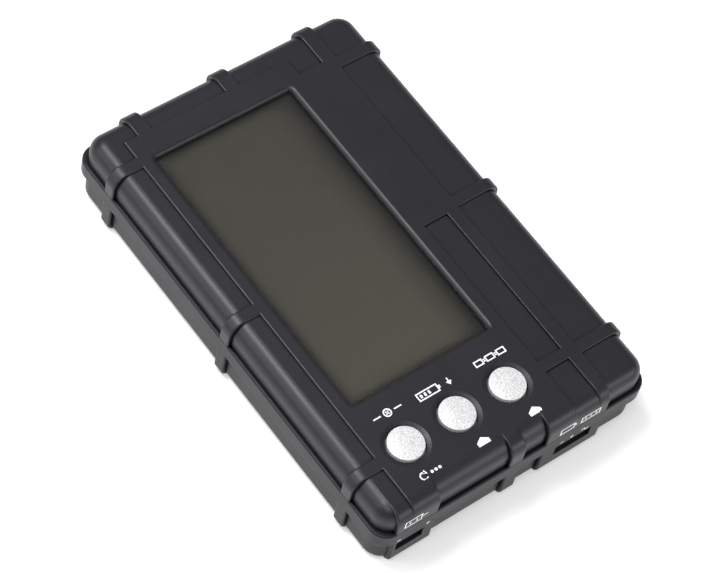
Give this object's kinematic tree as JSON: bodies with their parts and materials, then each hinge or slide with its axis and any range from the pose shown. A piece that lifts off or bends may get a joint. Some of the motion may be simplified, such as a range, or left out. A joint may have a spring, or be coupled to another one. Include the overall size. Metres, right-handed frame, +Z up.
{
  "type": "balance battery charger",
  "caption": "Hand-held balance charger for model battery packs: flat ribbed case with a large segment display, round push buttons below it and plug sockets in its side and end.",
  "frame": {"origin": "centre of the case's underside", "axes": "+X to the user's right with the buttons nearest the user, +Y along the long side away from the buttons, +Z up out of the display"},
  "size_m": [0.076, 0.118, 0.0208],
  "materials": {
    "case_plastic": "black moulded plastic, fine satin grain",
    "window": "clear hard-coated lens",
    "lcd_glass": "olive-grey segment display, smooth",
    "button_silver": "silver-painted plastic, satin with fine flake",
    "black_plastic": "black moulded plastic",
    "white_plastic": "natural nylon",
    "contact_rubber": "striped conductive silicone",
    "circuit_board": "green solder mask on glass-fibre laminate",
    "tinned_metal": "bright tin plate",
    "screw_steel": "black-zinc steel",
    "spring_steel": "bright stainless steel",
    "chip_black": "moulded epoxy",
    "resistor_ceramic": "glazed ceramic with tinned ends",
    "capacitor_can": "drawn aluminium can"
  },
  "bodies": {
    "case": {"balance_pins_3_way": "tinned_metal", "balance_pins_4_way": "tinned_metal", "balance_pins_5_way": "tinned_metal", "balance_pins_6_way": "tinned_metal", "balance_pins_7_way": "tinned_metal", "balance_socket_3_way": "white_plastic", "balance_socket_4_way": "white_plastic", "balance_socket_5_way": "white_plastic", "balance_socket_6_way": "white_plastic", "balance_socket_7_way": "white_plastic", "battery_pins": "tinned_metal", "battery_socket": "black_plastic", "bleed_resistor_1": "resistor_ceramic", "bleed_resistor_2": "resistor_ceramic", "bleed_resistor_3": "resistor_ceramic", "bleed_resistor_4": "resistor_ceramic", "bleed_resistor_5": "resistor_ceramic", "bleed_resistor_6": "resistor_ceramic", "bleed_transistor_1": "chip_black", "bleed_transistor_2": "chip_black", "bleed_transistor_3": "chip_black", "bleed_transistor_4": "chip_black", "bleed_transistor_5": "chip_black", "bleed_transistor_6": "chip_black", "bottom_case": "case_plastic", "case_screws": "screw_steel", "display_board": "circuit_board", "display_board_screws": "screw_steel", "display_driver": "chip_black", "lcd_glass": "lcd_glass", "lcd_holder": "black_plastic", "lcd_window": "window", "link_header": "black_plastic", "link_pins": "tinned_metal", "link_socket": "black_plastic", "main_board": "circuit_board", "main_board_screws": "screw_steel", "microcontroller": "chip_black", "receiver_pins": "tinned_metal", "receiver_socket": "black_plastic", "smoothing_capacitor": "capacitor_can", "switch_body_left": "black_plastic", "switch_body_middle": "black_plastic", "switch_body_right": "black_plastic", "switch_cover_left": "spring_steel", "switch_cover_middle": "spring_steel", "switch_cover_right": "spring_steel", "switch_dome_left": "spring_steel", "switch_dome_middle": "spring_steel", "switch_dome_right": "spring_steel", "top_case": "case_plastic", "voltage_regulator": "chip_black", "zebra_strip_far": "contact_rubber", "zebra_strip_near": "contact_rubber"},
    "button_left": {"button_cap_left": "button_silver", "switch_plunger_left": "black_plastic"},
    "button_middle": {"button_cap_middle": "button_silver", "switch_plunger_middle": "black_plastic"},
    "button_right": {"button_cap_right": "button_silver", "switch_plunger_right": "black_plastic"}
  },
  "joints": [
    {"name": "button_left_press", "type": "slide", "parent": "case", "child": "button_left", "axis": [0, 0, -1], "range_m": [0, 0.0003], "stiffness_N_per_m": 2000, "deforming": ["switch_dome_left"]},
    {"name": "button_middle_press", "type": "slide", "parent": "case", "child": "button_middle", "axis": [0, 0, -1], "range_m": [0, 0.0003], "stiffness_N_per_m": 2000, "deforming": ["switch_dome_middle"]},
    {"name": "button_right_press", "type": "slide", "parent": "case", "child": "button_right", "axis": [0, 0, -1], "range_m": [0, 0.0003], "stiffness_N_per_m": 2000, "deforming": ["switch_dome_right"]}
  ]
}
